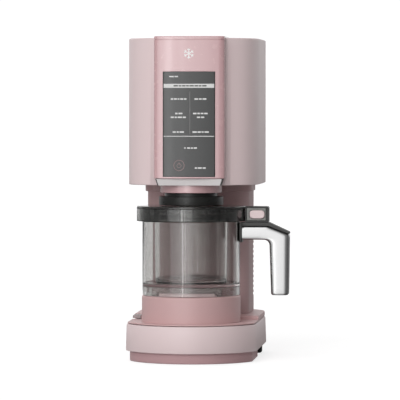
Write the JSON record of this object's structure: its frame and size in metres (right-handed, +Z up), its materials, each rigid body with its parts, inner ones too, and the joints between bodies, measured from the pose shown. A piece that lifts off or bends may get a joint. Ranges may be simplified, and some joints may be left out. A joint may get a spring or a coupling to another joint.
{
  "type": "ice cream maker",
  "caption": "Upright countertop ice cream maker with a motor head, a control panel and a handled bowl that twists onto a rising platform.",
  "frame": {"origin": "under the middle of the whole machine, on the table", "axes": "+Z up, +X to the user's right (towards the bowl's handle), +Y to the back of the machine"},
  "size_m": [0.2054, 0.262, 0.4053],
  "materials": {
    "pink_plastic": "satin",
    "gloss_pink": "glossy",
    "soft_pink": "satin",
    "column_pink": "satin",
    "light_grey": "satin",
    "panel_grey": "glossy",
    "black_plastic": "satin",
    "rubber": "matte",
    "smoky_clear": "clear",
    "clear_plastic": "clear",
    "silver_plastic": "metallic",
    "steel": "brushed",
    "aluminium": "satin",
    "circuit_board": "matte",
    "nylon": "matte"
  },
  "bodies": {
    "housing": {"base_plinth": "soft_pink", "base_band": "pink_plastic", "base_deck": "soft_pink", "release_guide": "nylon", "release_spring": "steel", "column_shell": "column_pink", "rear_cover": "column_pink", "cord_gland": "rubber", "power_board": "circuit_board", "head_shell": "pink_plastic", "head_floor": "soft_pink", "head_fascia": "gloss_pink", "control_panel": "panel_grey", "fascia_lip": "light_grey", "control_board": "circuit_board", "front_pad_left": "rubber", "front_pad_right": "rubber", "rear_foot_left": "rubber", "rear_foot_right": "rubber", "bottom_screw_left": "steel", "bottom_screw_right": "steel", "cover_screw_left": "steel", "cover_screw_right": "steel", "neck_ring": "gloss_pink", "spindle_collar": "black_plastic", "spindle_seal": "rubber", "drive_frame": "aluminium", "motor_can": "steel", "drive_belt": "rubber", "guide_rod_left": "steel", "guide_rod_right": "steel", "feed_motor": "steel", "lift_post": "steel", "lift_ramp_ring": "nylon"},
    "release_key": {"release_button": "light_grey"},
    "rotor": {"motor_rotor": "steel", "motor_pulley": "nylon", "motor_fan": "nylon"},
    "drive_wheel": {"drive_pulley": "nylon"},
    "spindle": {"spindle": "steel"},
    "carriage": {"carriage": "aluminium"},
    "feed_screw": {"feed_screw": "steel"},
    "lift_carrier": {"lift_carrier": "nylon"},
    "turntable": {"platform": "soft_pink", "platform_roller_left": "nylon", "platform_roller_right": "nylon"},
    "bowl": {"outer_bowl": "smoky_clear", "key_channel": "smoky_clear", "handle_mount": "black_plastic", "handle_grip": "silver_plastic", "handle_strap": "black_plastic", "pint": "clear_plastic"},
    "lid": {"lid": "smoky_clear", "lid_gasket": "rubber", "lid_tab": "black_plastic", "tab_window": "clear_plastic"},
    "lid_button": {"lid_button": "gloss_pink"},
    "lid_hub": {"lid_hub": "nylon"},
    "paddle": {"paddle": "nylon"}
  },
  "joints": [
    {"name": "release_press", "type": "slide", "parent": "housing", "child": "release_key", "axis": [0, 0, -1], "range_m": [0, 0.0026], "stiffness_N_per_m": 500, "springref_m": -0.002, "deforming": ["release_spring"]},
    {"name": "motor_spin", "type": "hinge", "parent": "housing", "child": "rotor", "pos_m": [-0.02096, 0.0358, 0.3], "axis": [0, 0, 1], "continuous": true},
    {"name": "drive_spin", "type": "hinge", "parent": "housing", "child": "drive_wheel", "pos_m": [-0.02096, -0.0592, 0.239], "axis": [0, 0, 1], "continuous": true},
    {"name": "spindle_feed", "type": "slide", "parent": "drive_wheel", "child": "spindle", "axis": [0, 0, 1], "range_m": [-0.086, 0]},
    {"name": "carriage_feed", "type": "slide", "parent": "housing", "child": "carriage", "axis": [0, 0, 1], "range_m": [-0.086, 0]},
    {"name": "feed_screw_turn", "type": "hinge", "parent": "housing", "child": "feed_screw", "pos_m": [-0.02096, -0.0292, 0.3], "axis": [0, 0, 1], "continuous": true},
    {"name": "platform_lift", "type": "slide", "parent": "housing", "child": "lift_carrier", "axis": [0, 0, 1], "range_m": [-0.012, 0]},
    {"name": "bowl_twist", "type": "hinge", "parent": "lift_carrier", "child": "turntable", "pos_m": [-0.02096, -0.0592, 0.06], "axis": [0, 0, 1], "range_deg": [-90, 0]},
    {"name": "bowl_slide_out", "type": "slide", "parent": "turntable", "child": "bowl", "axis": [1, 0, 0], "range_m": [0, 0.17]},
    {"name": "lid_twist", "type": "hinge", "parent": "bowl", "child": "lid", "pos_m": [-0.02096, -0.0592, 0.185], "axis": [0, 0, 1], "range_deg": [0, 28]},
    {"name": "lid_button_press", "type": "slide", "parent": "lid", "child": "lid_button", "axis": [0, 1, 0], "range_m": [0, 0.003], "stiffness_N_per_m": 300, "springref_m": -0.002},
    {"name": "hub_spin", "type": "hinge", "parent": "bowl", "child": "lid_hub", "pos_m": [-0.02096, -0.0592, 0.19], "axis": [0, 0, 1], "continuous": true},
    {"name": "paddle_feed", "type": "slide", "parent": "lid_hub", "child": "paddle", "axis": [0, 0, 1], "range_m": [-0.074, 0]}
  ],
  "couplings": [
    {"joint": "drive_spin", "follows": "motor_spin", "ratio": 0.40909},
    {"joint": "hub_spin", "follows": "motor_spin", "ratio": 0.40909},
    {"joint": "spindle_feed", "follows": "carriage_feed", "ratio": 1},
    {"joint": "paddle_feed", "follows": "carriage_feed", "ratio": 0.86047},
    {"joint": "feed_screw_turn", "follows": "carriage_feed", "rad_per_m": -628.32},
    {"joint": "platform_lift", "follows": "bowl_twist", "m_per_rad": 0.0076387}
  ]
}
